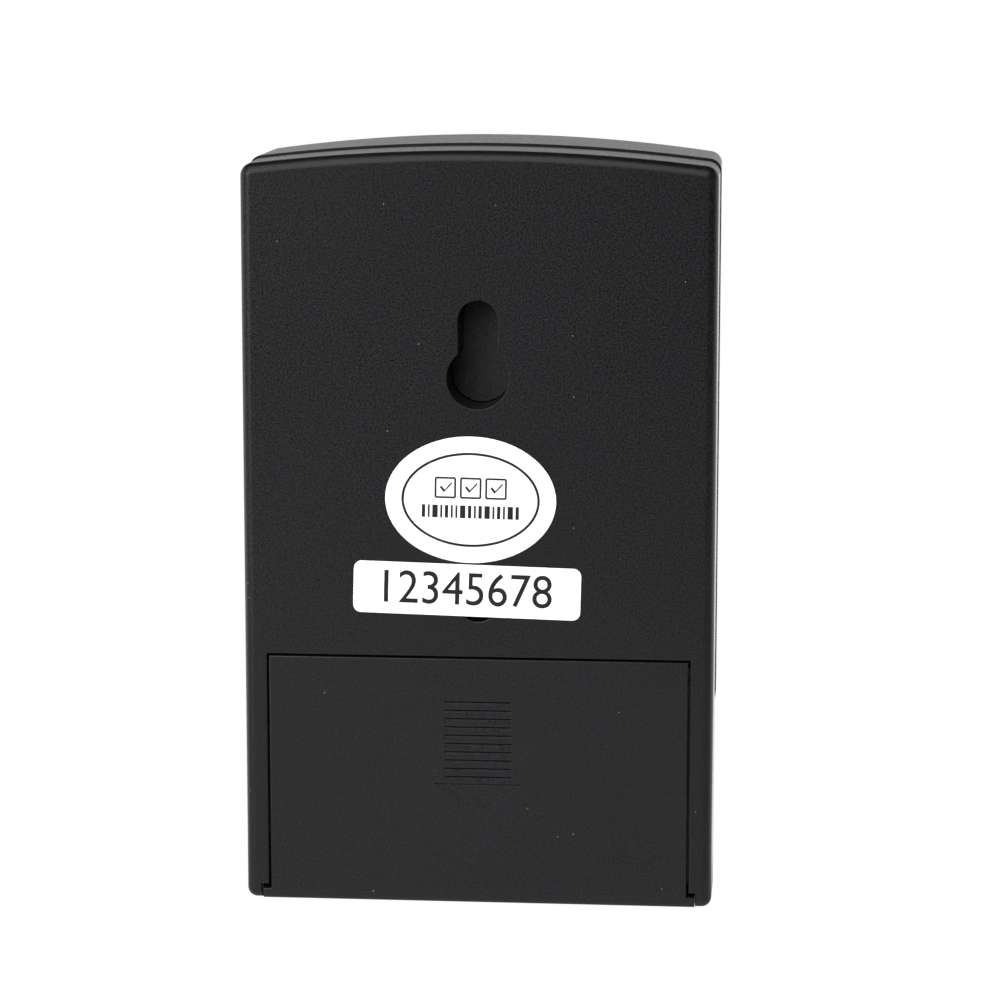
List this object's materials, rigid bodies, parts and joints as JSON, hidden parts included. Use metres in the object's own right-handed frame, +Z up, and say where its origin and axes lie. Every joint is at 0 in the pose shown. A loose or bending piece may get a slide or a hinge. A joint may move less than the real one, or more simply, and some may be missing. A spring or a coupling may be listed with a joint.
{
  "type": "geiger counter",
  "caption": "Pocket radiation meter: black two-part case with an arched top, hanging keyhole, sliding battery door, display and push buttons.",
  "frame": {"origin": "centre of the bounding box at the bottom, on the surface the counter stands on", "axes": "+Z up, from the foot to the arched top; +Y out of the flat back with the keyhole; -Y out of the front with the display; +X to the right as seen from the front"},
  "size_m": [0.0702, 0.0308, 0.1133],
  "materials": {
    "case_plastic": "fine spark-eroded moulded texture, charcoal black",
    "door_plastic": "fine spark-eroded moulded texture, charcoal black",
    "foam": "open-cell foam",
    "cell_jacket": "printed shrink film over a drawn can",
    "spring_steel": "nickel-plated wire",
    "contact_plate": "nickel-plated sheet",
    "red_wire": "vinyl insulation",
    "black_wire": "vinyl insulation",
    "screw_steel": "zinc plated",
    "label_film": "white satin film with black print",
    "lens_acrylic": "polished, black border printed on the inside",
    "display_glass": "polished, with polariser film",
    "holder_plastic": "moulded",
    "diffuser": "frosted",
    "contact_rubber": "layered conductive rubber",
    "button_plastic": "satin moulded",
    "switch_plastic": "moulded",
    "plunger_plastic": "moulded",
    "circuit_board": "solder mask over glass cloth",
    "ferrite": "sintered",
    "film_capacitor": "epoxy dipped",
    "chip_epoxy": "moulded epoxy",
    "can_metal": "drawn can",
    "tube_glass": "drawn glass with a tin oxide film inside",
    "cap_metal": "drawn",
    "sounder_plastic": "moulded",
    "lamp_body": "moulded",
    "pipe_acrylic": "polished"
  },
  "bodies": {
    "case": {"rear_case": "case_plastic", "front_case": "case_plastic", "upper_cell": "cell_jacket", "lower_cell": "cell_jacket", "upper_cell_spring": "spring_steel", "lower_cell_spring": "spring_steel", "positive_contact": "contact_plate", "negative_contact": "contact_plate", "bridge_contact": "contact_plate", "red_lead": "red_wire", "black_lead": "black_wire", "case_screw_centre": "screw_steel", "case_screw_left": "screw_steel", "case_screw_right": "screw_steel", "board_screw_lower_left": "screw_steel", "board_screw_lower_right": "screw_steel", "board_screw_upper_left": "screw_steel", "board_screw_upper_right": "screw_steel", "oval_label": "label_film", "serial_label": "label_film", "display_lens": "lens_acrylic", "display_glass": "display_glass", "display_frame": "holder_plastic", "display_backlight": "diffuser", "lower_zebra_strip": "contact_rubber", "upper_zebra_strip": "contact_rubber", "mode_switch": "switch_plastic", "set_switch": "switch_plastic", "sound_switch": "switch_plastic", "power_switch": "switch_plastic", "main_board": "circuit_board", "hv_transformer": "ferrite", "hv_capacitor": "film_capacitor", "processor_chip": "chip_epoxy", "clock_crystal": "can_metal", "filter_capacitor": "can_metal", "counting_tube": "tube_glass", "tube_cap_left": "cap_metal", "tube_cap_right": "cap_metal", "tube_clip_left": "contact_plate", "tube_clip_right": "contact_plate", "sounder": "sounder_plastic", "count_lamp": "lamp_body", "lamp_light_pipe": "pipe_acrylic"},
    "door": {"battery_door": "door_plastic", "door_foam_pad": "foam"},
    "mode_key": {"mode_button": "button_plastic", "mode_plunger": "plunger_plastic"},
    "set_key": {"set_button": "button_plastic", "set_plunger": "plunger_plastic"},
    "sound_key": {"sound_button": "button_plastic", "sound_plunger": "plunger_plastic"},
    "power_key": {"power_button": "button_plastic", "power_plunger": "plunger_plastic"}
  },
  "joints": [
    {"name": "battery_door_slide", "type": "slide", "parent": "case", "child": "door", "axis": [0, 0, -1], "range_m": [0, 0.0375]},
    {"name": "mode_press", "type": "slide", "parent": "case", "child": "mode_key", "axis": [0, 1, 0], "range_m": [0, 0.0005], "stiffness_N_per_m": 2000},
    {"name": "set_press", "type": "slide", "parent": "case", "child": "set_key", "axis": [0, 1, 0], "range_m": [0, 0.0005], "stiffness_N_per_m": 2000},
    {"name": "sound_press", "type": "slide", "parent": "case", "child": "sound_key", "axis": [0, 1, 0], "range_m": [0, 0.0005], "stiffness_N_per_m": 2000},
    {"name": "power_press", "type": "slide", "parent": "case", "child": "power_key", "axis": [0, 1, 0], "range_m": [0, 0.0005], "stiffness_N_per_m": 2000}
  ]
}
